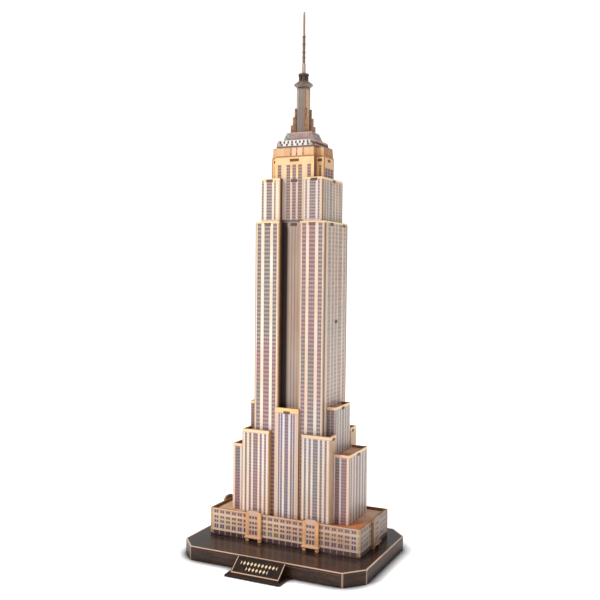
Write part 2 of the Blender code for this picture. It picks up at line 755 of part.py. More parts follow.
def spire(colours):
    """The slim spire: a stout foot, a ringed middle and a plain tip."""
    low = LANTERN_TOP + GAP
    profile = [(2.3, low), (1.85, low + 0.8), (1.75, 452.2), (1.35, 453.0)]
    for ring in (458.3, 463.0, 470.3, 477.2):
        profile += [(1.25, ring - 0.9), (1.6, ring - 0.5), (1.6, ring + 0.5), (1.2, ring + 0.9)]
    profile += [(1.0, 479.5), (0.95, 497.0), (0.7, SPIRE_TOP)]
    turned("spire", colours["spire"], profile, 12)


def build():
    for item in list(bpy.data.objects):
        bpy.data.objects.remove(item)
    colours = paints()
    base_top(colours)
    skirts(colours)
    base_ribs(colours)
    nameplate(colours)
    podium_walls(colours)
    podium_roof(colours)
    entrances(colours)
    wings(colours)
    corner_blocks(colours)
    corner_plates(colours)
    side_blocks(colours)
    side_plate(colours)
    centre_blocks(colours)
    core_walls(colours)
    shaft_shells(colours)
    upper_shells(colours)
    shaft_plate(colours, "shaft_plate", SHAFT_X, SHAFT_Y, RECESS_X, SHAFT_PLATE, SHAFT_SIDE_TABS)
    shaft_plate(colours, "upper_plate", UPPER_X, UPPER_Y, UPPER_RECESS_X, UPPER_PLATE, (3.7,))
    middle_plate(colours)
    crown_shells(colours)
    crown_plate(colours)
    crown_band(colours)
    deck(colours)
    plinth(colours)
    mast(colours)
    mast_fins(colours)
    collar(colours)
    lantern(colours)
    spire(colours)


build()
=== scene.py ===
"""Looks of the press-out board skyscraper: printed walls, dark base, gold crown and mast.

Every CAD node stays as it is. Each of its faces gets one of the printed materials below, chosen by
the plane that the face lies in. Lengths in the patterns are millimetres, in the frame of the part.
"""

import math

import bpy
from mathutils import Matrix, Vector

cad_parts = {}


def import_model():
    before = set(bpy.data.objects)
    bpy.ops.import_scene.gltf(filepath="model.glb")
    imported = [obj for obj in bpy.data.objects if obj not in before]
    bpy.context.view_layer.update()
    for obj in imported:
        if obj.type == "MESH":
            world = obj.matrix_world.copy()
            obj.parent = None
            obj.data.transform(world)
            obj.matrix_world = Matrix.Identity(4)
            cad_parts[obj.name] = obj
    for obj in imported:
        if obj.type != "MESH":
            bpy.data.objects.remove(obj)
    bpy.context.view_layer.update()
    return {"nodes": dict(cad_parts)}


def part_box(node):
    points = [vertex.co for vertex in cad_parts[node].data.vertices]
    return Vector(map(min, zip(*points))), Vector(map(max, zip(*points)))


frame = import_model()
MM = 0.001


# Node arithmetic

class Term:
    """A number in a node tree: each sum or product of terms adds one Math node."""

    def __init__(self, net, socket):
        self.net = net
        self.socket = socket

    def __add__(self, other):
        return self.net.math("ADD", self, other)

    def __radd__(self, other):
        return self.net.math("ADD", self, other)

    def __sub__(self, other):
        return self.net.math("SUBTRACT", self, other)

    def __rsub__(self, other):
        return self.net.math("SUBTRACT", other, self)

    def __mul__(self, other):
        return self.net.math("MULTIPLY", self, other)

    def __rmul__(self, other):
        return self.net.math("MULTIPLY", self, other)

    def __truediv__(self, other):
        return self.net.math("DIVIDE", self, other)

    def __abs__(self):
        return self.net.math("ABSOLUTE", self)

    def fract(self):
        return self.net.math("FRACT", self)

    def floor(self):
        return self.net.math("FLOOR", self)

    def over(self, edge, soft):
        """0 below the edge and 1 above it, with a soft step."""
        return self.net.math("MULTIPLY_ADD", self, 1 / soft, 0.5 - edge / soft, clamp=True)

    def under(self, edge, soft):
        return self.net.math("MULTIPLY_ADD", self, -1 / soft, 0.5 + edge / soft, clamp=True)

    def within(self, low, high, soft):
        return self.over(low, soft) * self.under(high, soft)

    def either(self, other):
        return self.net.math("MAXIMUM", self, other)


def linear(colour):
    """A colour as seen on screen, 0 to 255, as the shader takes it."""
    parts = []
    for part in colour:
        share = part / 255
        parts.append(share / 12.92 if share < 0.04045 else ((share + 0.055) / 1.055) ** 2.4)
    return (*parts, 1.0)


class Net:
    """One material, with short ways to add its nodes."""

    def __init__(self, name, roughness=0.4, coat=0.0):
        self.material = bpy.data.materials.new(name)
        self.material.use_nodes = True
        self.tree = self.material.node_tree
        self.shader = self.tree.nodes["Principled BSDF"]
        self.shader.inputs["Roughness"].default_value = roughness
        self.shader.inputs["Coat Weight"].default_value = coat
        self.shader.inputs["Coat Roughness"].default_value = 0.12
        texture = self.node("ShaderNodeTexCoord")
        scaled = self.node("ShaderNodeVectorMath", operation="SCALE")
        self.link(texture.outputs["Object"], scaled.inputs[0])
        scaled.inputs["Scale"].default_value = 1 / MM
        self.place = scaled.outputs[0]
        split = self.node("ShaderNodeSeparateXYZ")
        self.link(self.place, split.inputs[0])
        self.x, self.y, self.z = [Term(self, out) for out in split.outputs]

    def seen_side(self, axis):
        """Distance to the right of a face's middle, for someone who looks at that face."""
        if axis == "x":
            return self.seen_across()
        return self.y * self.math("SIGN", self.x)

    def seen_across(self):
        """X for a front face and -X for a back face: left to right for someone who looks at it."""
        return self.x * self.math("SIGN", self.y) * -1.0

    def node(self, kind, **settings):
        made = self.tree.nodes.new(kind)
        for key, value in settings.items():
            setattr(made, key, value)
        return made

    def link(self, source, target):
        self.tree.links.new(source, target)

    def put(self, value, target):
        if isinstance(value, Term):
            self.link(value.socket, target)
        elif isinstance(value, bpy.types.NodeSocket):
            self.link(value, target)
        else:
            target.default_value = value

    def math(self, operation, *values, clamp=False):
        made = self.node("ShaderNodeMath", operation=operation, use_clamp=clamp)
        for value, target in zip(values, made.inputs):
            self.put(value, target)
        return Term(self, made.outputs[0])

    def mix(self, factor, first, second):
        """A colour between two colours: each is a socket, or three numbers from 0 to 255."""
        made = self.node("ShaderNodeMix", data_type="RGBA")
        self.put(factor, made.inputs[0])
        for value, target in ((first, made.inputs[6]), (second, made.inputs[7])):
            self.put(linear(value) if isinstance(value, tuple) else value, target)
        return made.outputs[2]

    def noise(self, scale, detail=2.0, stretch=(1, 1, 1), shift=0.0):
        """Noise from 0 to 1, with scale in features per millimetre."""
        mapping = self.node("ShaderNodeMapping")
        self.link(self.place, mapping.inputs["Vector"])
        mapping.inputs["Location"].default_value = (shift, shift, shift)
        mapping.inputs["Scale"].default_value = stretch
        made = self.node("ShaderNodeTexNoise")
        self.link(mapping.outputs[0], made.inputs["Vector"])
        made.inputs["Scale"].default_value = scale
        made.inputs["Detail"].default_value = detail
        return Term(self, made.outputs["Fac"])

    def chance(self, *values):
        """A random number from 0 to 1 for each combination of whole numbers."""
        joined = self.node("ShaderNodeCombineXYZ")
        for value, target in zip(values, joined.inputs):
            self.put(value, target)
        made = self.node("ShaderNodeTexWhiteNoise", noise_dimensions="3D")
        self.link(joined.outputs[0], made.inputs["Vector"])
        return Term(self, made.outputs["Value"])

    def finish(self, colour, height=None, depth=0.1, roughness=None):
        """Sets the colour, a bump with its depth in millimetres, and a roughness pattern."""
        self.put(colour, self.shader.inputs["Base Color"])
        if roughness is not None:
            self.put(roughness, self.shader.inputs["Roughness"])
        if height is not None:
            bump = self.node("ShaderNodeBump")
            bump.inputs["Distance"].default_value = depth * MM
            bump.inputs["Strength"].default_value = 1.0
            self.put(height, bump.inputs["Height"])
            self.link(bump.outputs[0], self.shader.inputs["Normal"])
        return self.material


# Printed walls

IVORY, PEACH, LILAC = (230, 213, 194), (226, 196, 173), (216, 205, 206)
PIERS = (IVORY, PEACH, LILAC)
PANES = ((106, 88, 100), (122, 86, 92), (108, 94, 80))
SPANDREL = (170, 150, 146)
TRIM, TRIM_LINE = (232, 200, 158), (132, 90, 58)
CORNER_BROWN = (104, 72, 48)
EDGE_TAN = (180, 144, 108)
DARK_PANE = (54, 44, 54)
SPECK = (120, 90, 70)
# Painted shade: front and back walls darken towards the viewer's right, where the light falls off.
FALLOFF_SHADE = (122, 100, 98)
SHAFT_PITCH, UPPER_PITCH, BLOCK_PITCH = 3.75, 2.75, 2.85

# Heights of the tiers' tops
WING_TOP, CORNER_TOP, CENTRE_TOP, SIDE_TOP = 98.0, 114.6, 136.5, 138.9
SHAFT_TOP, UPPER_TOP = 305.9, 345.3


def scaled(colour, light):
    return tuple(part * light for part in colour)


def paper(net):
    """Fine grain of coated board, for bump and gloss."""
    return net.noise(3.0, 3.0)


def wall_tint(net, first=IVORY, second=PEACH, third=LILAC):
    """The pier colour, which drifts slowly between three close tints."""
    slow = net.noise(0.045, 2.0, (1, 1, 0.5))
    drift = net.noise(0.03, 1.0, (1, 1, 0.4), 40.0)
    warm = net.mix(slow.within(0.50, 0.9, 0.2), first, second)
    return net.mix(drift.over(0.6, 0.25), warm, third)


def panes(net, along, layout, pitch, base, tall=0.52):
    """Masks of the window columns and of the panes in them.

    The layout holds (centre, half width, panes across) for each column."""
    column, pane = 0.0, 0.0
    for centre, half, across in layout:
        away = abs(along - centre)
        inside = away.under(half, 0.25)
        part = ((along - (centre - half)) * (across / (2 * half))).fract()
        light = abs(part - 0.5).under(0.5 - 0.17 * across / (2 * half), 0.1)
        column = inside if isinstance(column, float) else column.either(inside)
        pane = inside * light if isinstance(pane, float) else pane.either(inside * light)
    row = ((net.z - base) / pitch).fract()
    return column, pane * row.within(0.5 - tall / 2, 0.5 + tall / 2, 0.12)


def facade(name, axis, layout, pitch, base, top, trim=2.6, mirror=True, pier=PIERS, glass=PANES,
           spandrel=SPANDREL, edges=(), edge_colour=CORNER_BROWN, trim_colour=TRIM, low=None):
    """A printed wall: pale piers, columns of windows, and a trim line along its top edge. A front or back
    wall also gets painted shade towards the viewer's right.
    """
    net = Net(name, coat=0.15)
    along = net.x if axis == "x" else net.y
    if mirror:
        along = abs(along)
    column, pane = panes(net, along, layout, pitch, base)
    stop = net.z.under(top - trim, 0.3)
    if low is not None:
        stop = stop * net.z.over(low, 0.3)
    column, pane = column * stop, pane * stop
    which = net.chance((along * 0.45).floor(), ((net.z - base) / pitch).floor(), 3.0)
    slow = net.noise(0.03, 1.0, (1, 1, 0.35), 9.0)
    tone = net.mix(slow.over(0.52, 0.16), glass[0], glass[1])
    tone = net.mix(which.over(0.72, 0.1) * 0.7, tone, glass[2])
    tone = net.mix(which.under(0.2, 0.1) * 0.35, tone, DARK_PANE)
    between = net.mix(slow.over(0.5, 0.3), spandrel, scaled(spandrel, 0.9))
    tide = net.noise(0.035, 2.0, (1, 1, 0.45), 70.0)
    for mask, hue in ((tide.over(0.54, 0.1), (86, 104, 92)), (tide.under(0.46, 0.1), (142, 78, 84))):
        tone = net.mix(mask * 0.45, tone, hue)
        between = net.mix(mask * 0.22, between, hue)
    colour = wall_tint(net, *pier)
    for low_edge, high_edge in edges:
        colour = net.mix(along.within(low_edge, high_edge, 0.4) * 0.9, colour, edge_colour)
    colour = net.mix(column, colour, between)
    colour = net.mix(pane, colour, tone)
    line = net.z.within(top - trim, top - trim + 0.45, 0.2)
    colour = net.mix(net.z.over(top - trim, 0.3), colour, trim_colour)
    colour = net.mix(line * 0.5, colour, TRIM_LINE)
    speck = net.noise(0.8, 4.0)
    colour = net.mix(speck.over(0.62, 0.25) * 0.12, colour, SPECK)
    # Painted shade: the wall darkens towards the viewer's right, standing in for light that falls off across
    # it.
    if axis == "x":
        colour = net.mix(net.seen_across().over(4.0, 16.0) * 0.2, colour, FALLOFF_SHADE)
    grain = paper(net)
    height = column * -0.6 + pane * -0.5 + grain * 0.25
    rough = 0.46 - pane * 0.14 + grain * 0.12
    return net.finish(colour, height, 0.22, rough)


def plain_wall(name, colour, dark, top, trim=3.0, trim_colour=TRIM):
    """A printed wall with no windows: faint courses of stone below its trim."""
    net = Net(name, coat=0.1)
    patch = net.noise(0.06, 3.0, (1, 1, 0.4))
    course = (net.z / BLOCK_PITCH).fract().under(0.2, 0.15)
    tone = net.mix(patch.over(0.5, 0.3), colour, dark)
    tone = net.mix(course * 0.3, tone, dark)
    tone = net.mix(net.z.over(top - trim, 0.3), tone, trim_colour)
    grain = paper(net)
    return net.finish(tone, grain * 0.3 - course * 0.3, 0.12, 0.5 + grain * 0.1)


def board(name, colour, dark, depth=0.15, rough=0.62):
    """Plain board: the inside of a wall or a cut edge, with the core's fine grain."""
    net = Net(name)
    grain = net.noise(1.6, 5.0, (1, 1, 2.5))
    patch = net.noise(0.06, 2.0)
    tone = net.mix(patch.over(0.5, 0.4), colour, dark)
    tone = net.mix(grain.over(0.56, 0.3) * 0.5, tone, dark)
    return net.finish(tone, grain, depth, rough + grain * 0.15)


# Side walls take a copy of the front's colours with painted shade and painted sheen: darker piers, and paler
# panes and spandrels that stand in for a grazing sheen, on top of the real shade of the sides.
SHADED_SIDE_PIERS = ((206, 188, 170), (202, 176, 156), (194, 180, 174))
SHEENED_SIDE_PANES = ((158, 140, 132), (160, 134, 128), (160, 146, 126))
SHEENED_SIDE_SPANDREL = (182, 164, 150)
SHADED_BLOCK_SIDE = {
    "pier": ((198, 184, 172), (196, 174, 160), (188, 180, 178)),
    "glass": ((122, 114, 114), (126, 108, 108), (118, 116, 108)), "spandrel": (156, 144, 138)}
SHADED_SIDE_LOOK = {"pier": SHADED_SIDE_PIERS, "glass": SHEENED_SIDE_PANES, "spandrel": SHEENED_SIDE_SPANDREL}


def board_prints():
    return {
        "inside": board("board_inside", (150, 112, 84), (104, 72, 52)),
        "edge": board("board_edge", (190, 144, 100), (128, 84, 52)),
        "tab": board("board_tab", (126, 92, 68), (78, 52, 36)),
        "deck_floor": board("deck_floor", (166, 152, 148), (118, 106, 106), rough=0.5),
    }


def tower_prints():
    """The walls of the tall middle part, up to the second setback."""
    shaft = [(14.6, 2.0, 2), (22.5, 3.0, 3), (30.6, 2.0, 2)]
    shaft_side = [(-15.0, 3.1, 3), (-6.6, 2.6, 2), (0.8, 2.6, 2), (10.0, 4.2, 4), (20.2, 2.4, 2)]
    upper = [
        (-29.0, 0.9, 1), (-22.4, 2.8, 3), (-16.6, 0.8, 1),
        (14.8, 0.8, 1), (21.1, 3.0, 3), (27.2, 0.9, 1)]
    upper_side = [
        (-16.5, 2.1, 2), (-10.8, 1.9, 2), (-3.6, 3.1, 3),
        (3.6, 2.3, 2), (10.4, 1.8, 2), (17.6, 2.8, 3)]
    return {
        "shaft_front": facade(
            "shaft_front", "x", shaft, SHAFT_PITCH, 1.0, SHAFT_TOP, 1.8, edges=[(10.0, 11.7), (33.5, 35.0)],
            edge_colour=EDGE_TAN),
        "shaft_side": facade(
            "shaft_side", "y", shaft_side, SHAFT_PITCH, 1.0, SHAFT_TOP, 1.8, False,
            edges=[(-27.4, -22.9), (24.6, 27.4)], **SHADED_SIDE_LOOK),
        "return": recess_return("recess_return", 26.8, 18.2),
        "upper_front": facade(
            "upper_front", "x", upper, UPPER_PITCH, 0.4, UPPER_TOP, 2.4, False, low=307.6,
            edges=[(-31.0, -29.9), (-13.2, -11.4), (11.4, 12.8), (29.0, 31.0)], edge_colour=(206, 176, 134)),
        "upper_side": facade(
            "upper_side", "y", upper_side, UPPER_PITCH, 0.4, UPPER_TOP, 2.2, False,
            edges=[(-24.0, -20.4), (22.0, 24.0)], low=306.8, **SHADED_SIDE_LOOK),
        "upper_return": recess_return("upper_return", 23.8, 18.2),
        "core": core_wall_print(),
    }


def crown_prints():
    return {
        "crown_side": crown_side_print(),
        "crown_corner": crown_corner_print(),
        "band_front": crown_band_print("band_front", "x"),
        "band_side": crown_band_print("band_side", "y"),
    }


def block_prints():
    """The walls of the stepped blocks round the foot of the tower."""
    corner = [(20.2, 1.0, 1), (24.7, 1.15, 1), (30.2, 2.4, 2), (35.7, 1.15, 1), (40.2, 1.0, 1)]
    centre = [(0.0, 1.9, 2), (5.0, 0.95, 1), (7.5, 0.85, 1)]
    side_front = [(36.2, 1.5, 1), (40.4, 1.5, 1)]
    side_side = [(-12.2, 1.5, 1), (-6.4, 1.5, 1), (0.0, 2.2, 2), (6.4, 1.5, 1), (12.2, 1.5, 1)]
    wing_front = [(47.65, 2.05, 2), (54.1, 2.6, 2)]
    wing_side = [
        (-17.4, 1.6, 1), (-10.8, 1.6, 1), (-3.6, 2.2, 2),
        (3.6, 2.2, 2), (10.8, 1.6, 1), (17.4, 1.6, 1)]
    cool = ((220, 209, 204), (220, 198, 184), (206, 201, 212))
    plum = ((92, 74, 94), (106, 78, 88), (104, 90, 84))
    steel = ((98, 92, 104), (98, 86, 94), (98, 98, 94))
    return {
        "corner_front": facade(
            "corner_front", "x", corner, BLOCK_PITCH, 0.2, CORNER_TOP, 3.0, spandrel=(152, 138, 140),
            glass=steel, edges=[(16.0, 17.4), (43.2, 44.4)], edge_colour=EDGE_TAN,
            trim_colour=(232, 200, 160)),
        "corner_side": plain_wall("corner_side", (202, 172, 144), (168, 136, 112), CORNER_TOP),
        "centre_front": facade(
            "centre_front", "x", centre, 2.9, 0.2, CENTRE_TOP, 4.6, pier=cool, glass=steel,
            spandrel=(134, 128, 138), edges=[(8.9, 12.3)], edge_colour=(206, 172, 144),
            trim_colour=(236, 192, 130)),
        "side_front": facade(
            "side_front", "x", side_front, BLOCK_PITCH, 0.2, SIDE_TOP, 2.8, pier=(SPANDREL,) * 3, glass=plum,
            spandrel=(140, 118, 122)),
        "side_side": facade(
            "side_side", "y", side_side, BLOCK_PITCH, 0.2, SIDE_TOP, 2.8, False, edges=[(-17.9, -15.6)],
            **SHADED_BLOCK_SIDE),
        "wing_front": facade(
            "wing_front", "x", wing_front, BLOCK_PITCH, 0.2, WING_TOP, 2.8, pier=cool, glass=plum,
            spandrel=(150, 128, 130), edges=[(57.0, 59.4)], edge_colour=(234, 196, 166),
            trim_colour=(236, 194, 164)),
        "wing_side": facade(
            "wing_side", "y", wing_side, BLOCK_PITCH, 0.2, WING_TOP, 2.8, False, edges=[(-23.0, -20.8)],
            **SHADED_BLOCK_SIDE),
    }


def podium_prints():
    return {
        "podium_front": podium_print("podium_front", "x", 1.0),
        # The side prints are the front prints made darker, 0.72 and 0.66 times, as painted shade.
        "podium_side": podium_print("podium_side", "y", 0.72),
        "entrance_x": entrance_print("entrance_x", "x", 1.0),
        "entrance_y": entrance_print("entrance_y", "y", 0.66),
        "roof": roof_print(),
        "base": base_print("base_top_print", True),
        "skirt": base_print("base_skirt_print", False),
        "plate": nameplate_print(),
    }


def mast_prints():
    return {
        "deck_wall_x": deck_front_print(),
        "deck_wall_y": deck_side_print(),
        "plinth": plinth_print(),
        "mast_front": mast_print("mast_front", "x", (116, 108, 106), (92, 87, 89)),
        "mast_side": mast_print("mast_side", "y", (206, 168, 130), (150, 110, 78)),
        "fin": fin_print(),
        "metal": turned_print("grey_metal", (126, 110, 100), (84, 70, 60)),
        "lantern": turned_print("lantern_print", (92, 68, 50), (26, 18, 14)),
        "spire": spire_print(),
    }


def recess_return(name, outer, inner):
    """The folded returns beside a recess: tan at the front edge, brown behind it, and painted shade that
    darkens it to near black towards the inner corner.
    """
    net = Net(name)
    behind = abs(net.y).under(outer - 2.2, 1.4)
    # Painted shade: the return darkens into the corner of the recess.
    corner = abs(net.y).under((outer + inner) / 2, (outer - inner) * 0.6)
    colour = net.mix(net.noise(0.1, 2.0).over(0.5, 0.3), (118, 84, 60), (98, 70, 50))
    colour = net.mix(behind, (188, 140, 92), colour)
    colour = net.mix(corner, colour, (40, 25, 20))
    grain = paper(net)
    return net.finish(colour, grain, 0.06, 0.6 + grain * 0.1)


GOLD_LIGHT, GOLD_DEEP, GOLD_PEACH = (240, 198, 146), (230, 176, 122), (232, 182, 150)
CORE_SILL = 305.4
HEAD_FOOT = 346.2
WINDOW_TOP = 357.9


def gold_tint(net, scale=0.1):
    return net.mix(net.noise(scale, 2.0, (1, 1, 0.6)).over(0.5, 0.3), GOLD_LIGHT, GOLD_DEEP)


def core_wall_print():
    """The tall wall behind the recesses, whose head is the gold front of the crown."""
    net = Net("core_wall", coat=0.1)
    along = abs(net.x)
    columns = [(0.0, 1.9, 2), (5.9, 2.0, 2), (14.9, 1.8, 2)]
    column, pane = panes(net, along, columns, UPPER_PITCH, 0.4)
    stop = net.z.within(CORE_SILL + 2.0, WINDOW_TOP, 0.3)
    column, pane = column * stop, pane * stop
    gold = net.mix(along.within(8.6, 13.0, 0.5) * 0.7, gold_tint(net), GOLD_PEACH)
    upper = wall_tint(net, (202, 182, 166), (194, 168, 150), (188, 176, 170))
    colour = net.mix(net.z.over(HEAD_FOOT, 0.8), upper, gold)
    lower = wall_tint(net, (172, 150, 136), (164, 138, 120), (160, 146, 140))
    thin = abs(along - 1.5).under(0.45, 0.3)
    lower = net.mix(thin * 0.7, lower, (104, 84, 78))
    lower = net.mix(abs(along - 4.6).under(0.3, 0.3) * 0.5, lower, (120, 98, 88))
    across = net.seen_across()
    # Painted half-shade: an olive band on the wall just left of the right bay.
    lower = net.mix(across.within(7.0, 9.4, 0.6) * 0.6, lower, (142, 128, 98))
    # Painted shadow: the strip beside the left bay is darkened to near black, over the real shadow that the
    # bay casts here.
    lower = net.mix(across.under(-5.8, 1.6) * 0.97, lower, (30, 12, 8))
    colour = net.mix(net.z.under(CORE_SILL, 0.5), colour, lower)
    slow = net.noise(0.04, 1.0, (1, 1, 0.4))
    tone = net.mix(slow.over(0.5, 0.2), (116, 96, 102), (112, 82, 78))
    strip = net.mix(slow.over(0.5, 0.3), (158, 134, 126), (146, 120, 112))
    colour = net.mix(column, colour, strip)
    colour = net.mix(pane, colour, tone)
    colour = net.mix(net.z.within(CORE_SILL, CORE_SILL + 2.4, 0.4) * 0.8, colour, (62, 42, 36))
    colour = net.mix(net.z.over(364.4, 0.3), colour, (178, 122, 72))
    grain = paper(net)
    height = column * -0.6 + pane * -0.5 + grain * 0.25
    return net.finish(colour, height, 0.2, 0.46 - pane * 0.14 + grain * 0.1)


def crown_side_print():
    """The crown's left and right walls: a block of plum windows below a cream head."""
    net = Net("crown_side", coat=0.15)
    along = abs(net.y)
    block = along.under(8.8, 0.4) * net.z.under(354.8, 0.5)
    mullion = abs((net.y / 5.9 + 0.5).fract() - 0.5).over(0.43, 0.06)
    rows = (net.z / UPPER_PITCH).fract().within(0.22, 0.78, 0.15)
    head = net.mix(net.z.over(355.0, 0.5), (180, 138, 100), (208, 168, 130))
    plum = net.mix(rows, (132, 104, 106), (100, 72, 84))
    plum = net.mix(mullion, plum, (206, 176, 158))
    colour = net.mix(block, head, plum)
    colour = net.mix(along.over(9.6, 0.4) * 0.8, colour, (112, 74, 50))
    colour = net.mix(net.z.over(364.2, 0.3), colour, (170, 116, 70))
    grain = paper(net)
    return net.finish(colour, grain * 0.3 - block * rows * 0.6, 0.15, 0.46 + grain * 0.1)


def crown_corner_print():
    """The narrow gold walls at the crown's corners, each with one column of windows."""
    net = Net("crown_corner", coat=0.15)
    along = abs(net.x)
    column = abs(along - 22.6).under(1.0, 0.3) * net.z.under(357.0, 0.4)
    rows = (net.z / UPPER_PITCH).fract().within(0.22, 0.78, 0.15)
    tone = net.mix(rows, (176, 144, 104), (116, 104, 84))
    colour = net.mix(column, gold_tint(net), tone)
    colour = net.mix(along.over(25.6, 0.4) * 0.8, colour, (150, 102, 62))
    colour = net.mix(net.z.over(364.4, 0.3), colour, (178, 122, 72))
    grain = paper(net)
    return net.finish(colour, grain * 0.3 - column * rows * 0.6, 0.15, 0.44 + grain * 0.1)


def crown_band_print(name, axis):
    """Gold panels above the crown, with three dark slits, or a row of narrow ribs at the sides."""
    net = Net(name, coat=0.1)
    along = net.x if axis == "x" else net.y
    if axis == "x":
        colour = net.mix(net.noise(0.1, 2.0).over(0.5, 0.3), (208, 170, 124), (192, 148, 106))
        panel = along.within(-3.6, 8.2, 0.3)
        colour = net.mix(panel * 0.6, colour, GOLD_PEACH)
        slits = [abs(along - centre).under(0.6, 0.3) for centre in (-3.75, 1.9, 8.4)]
        slit = slits[0].either(slits[1]).either(slits[2])
    else:
        slit = abs((along / 3.1).fract() - 0.5).under(0.22, 0.1)
        colour = net.mix(net.noise(0.3, 2.0).over(0.5, 0.3), (200, 154, 106), (166, 118, 80))
    tall = net.z.within(366.0, 373.2, 0.6)
    colour = net.mix(slit * tall * 0.8, colour, (140, 84, 56))
    foot = net.z.within(366.2, 368.4, 0.5)
    colour = net.mix(slit * foot, colour, (104, 38, 32))
    seam = abs((along / 5.9).fract() - 0.5).under(0.05, 0.05)
    colour = net.mix(seam * 0.3, colour, (176, 122, 66))
    colour = net.mix(net.z.under(366.1, 0.3) * 0.8, colour, (170, 114, 62))
    colour = net.mix(net.z.over(373.0, 0.3) * 0.8, colour, (112, 80, 66))
    grain = paper(net)
    return net.finish(colour, grain * 0.3 - slit * tall, 0.2, 0.42 + grain * 0.12)


def podium_print(name, axis, light):
    """Four rows of paired windows over a dark ground floor with pale posts. light scales most colours down
    on a side wall, as painted shade.
    """
    net = Net(name, coat=0.12)
    along = net.x if axis == "x" else net.y
    width = 6.3
    bay = ((along / width + 0.5).fract() - 0.5) * width
    pair = abs(bay).under(2.05, 0.3) * abs(bay).over(0.28, 0.25)
    first = net.z.within(18.9, 22.7, 0.35)
    rows = first
    for low, high in ((24.4, 26.6), (28.3, 30.6), (33.3, 35.8)):
        rows = rows.either(net.z.within(low, high, 0.35))
    shade = [scaled(tone, light) for tone in ((204, 170, 140), (192, 150, 126), (194, 174, 156))]
    colour = wall_tint(net, *shade)
    ledge = net.z.within(31.2, 32.6, 0.4).either(net.z.within(16.9, 18.5, 0.4))
    colour = net.mix(ledge * 0.7, colour, scaled((218, 188, 166), light))
    which = net.chance((along / width + 0.5).floor(), (net.z / 4.6).floor(), 1.0)
    tone = net.mix(which.over(0.55, 0.2), scaled((96, 62, 60), light), scaled((90, 68, 86), light))
    blue = net.mix(which.over(0.5, 0.2), scaled((72, 66, 96), light), scaled((80, 94, 92), light))
    tone = net.mix(first, tone, blue)
    tone = net.mix(which.over(0.86, 0.04) * 0.6, tone, (120, 106, 72))
    colour = net.mix(pair * rows, colour, tone)
    ground = net.z.under(16.9, 0.35)
    street = net.mix(net.noise(0.3, 3.0).over(0.5, 0.3), (78, 46, 50), (58, 36, 54))
    street = net.mix(abs(bay).over(2.7, 0.3) * 0.7, street, scaled((186, 150, 134), light))
    colour = net.mix(ground, colour, street)
    # Painted contact shadow: a dark line along the foot of the wall, where it stands on the base.
    colour = net.mix(net.z.under(13.6, 0.6) * 0.8, colour, (44, 24, 20))
    colour = net.mix(net.z.within(35.9, 36.8, 0.3) * 0.5, colour, scaled((140, 96, 66), light))
    colour = net.mix(net.z.over(36.8, 0.3) * 0.7, colour, scaled((226, 186, 146), light))
    ends = abs(along).over((73.4 if axis == "x" else 33.6), 0.4) * net.z.over(14.0, 0.4)
    colour = net.mix(ends * 0.8, colour, scaled((190, 150, 108), light))
    # Painted shade: the wall darkens towards the viewer's right, standing in for light that falls off across
    # it.
    if axis == "x":
        colour = net.mix(net.seen_across().over(20.0, 60.0) * 0.22, colour, FALLOFF_SHADE)
    grain = paper(net)
    height = pair * rows * -1.0 + grain * 0.25 - ground * 0.5
    return net.finish(colour, height, 0.22, 0.48 - pair * rows * 0.16 + grain * 0.1)


def entrance_print(name, axis, light):
    """Gold piers at the sides of an entrance and three columns of windows between them. light scales most
    colours down on a side entrance, as painted shade.
    """
    net = Net(name, coat=0.15)
    along = net.x if axis == "x" else net.y
    away = abs(abs(along) - 28.8) if axis == "x" else abs(along)
    width = 2.9
    step = away / width + 0.5
    inside = away.under(4.4, 0.3)
    pane = abs(step.fract() - 0.5).under(0.36, 0.08) * inside
    rows = net.z.within(18.6, 22.7, 0.35)
    for low, high in ((24.4, 26.6), (28.3, 30.6), (33.3, 35.9)):
        rows = rows.either(net.z.within(low, high, 0.35))
    patch = net.noise(0.12, 2.0, (1, 1, 0.5))
    gold = net.mix(patch.over(0.5, 0.3), scaled((222, 172, 118), light), scaled((206, 146, 98), light))
    colour = net.mix(inside, gold, scaled((196, 160, 140), light))
    which = net.chance(step.floor(), (net.z / 4.6).floor(), 2.0)
    tone = net.mix(which.over(0.5, 0.2), scaled((96, 72, 80), light), scaled((106, 82, 68), light))
    colour = net.mix(pane * rows, colour, tone)
    line = away.within(4.4, 4.9, 0.25)
    colour = net.mix(line * 0.6 * net.z.under(38.0, 0.3), colour, scaled((168, 102, 60), light))
    colour = net.mix(net.z.within(15.4, 17.2, 0.3), colour, scaled((222, 178, 140), light))
    colour = net.mix(net.z.under(15.2, 0.4) * inside, colour, (66, 38, 34))
    grain = paper(net)
    return net.finish(colour, grain * 0.3 - pane * rows * 0.8, 0.2, 0.44 + grain * 0.12)


def roof_print():
    """Tan roof board, with painted orange shade towards two opposite corners, in front of the wings."""
    net = Net("roof_print", coat=0.05)
    patch = net.noise(0.07, 3.0)
    fine = net.noise(0.9, 4.0)
    tan = net.mix(patch.over(0.5, 0.3), (236, 194, 160), (218, 170, 134))
    # Painted shade: the roof turns orange-brown in front of the wings, at the right front and the left back.
    orange_shade = net.mix(patch.over(0.5, 0.3), (212, 136, 84), (190, 106, 60))
    near_corner = net.seen_across().over(34.0, 20.0) * abs(net.y).over(4.0, 12.0)
    colour = net.mix(near_corner, tan, orange_shade)
    colour = net.mix(fine.over(0.55, 0.3) * 0.35, colour, (128, 76, 48))
    return net.finish(colour, fine, 0.12, 0.52 + fine * 0.15)


KEYLINE = (236, 198, 176)
BASE_CHAMFER = (15.5, 17.0)


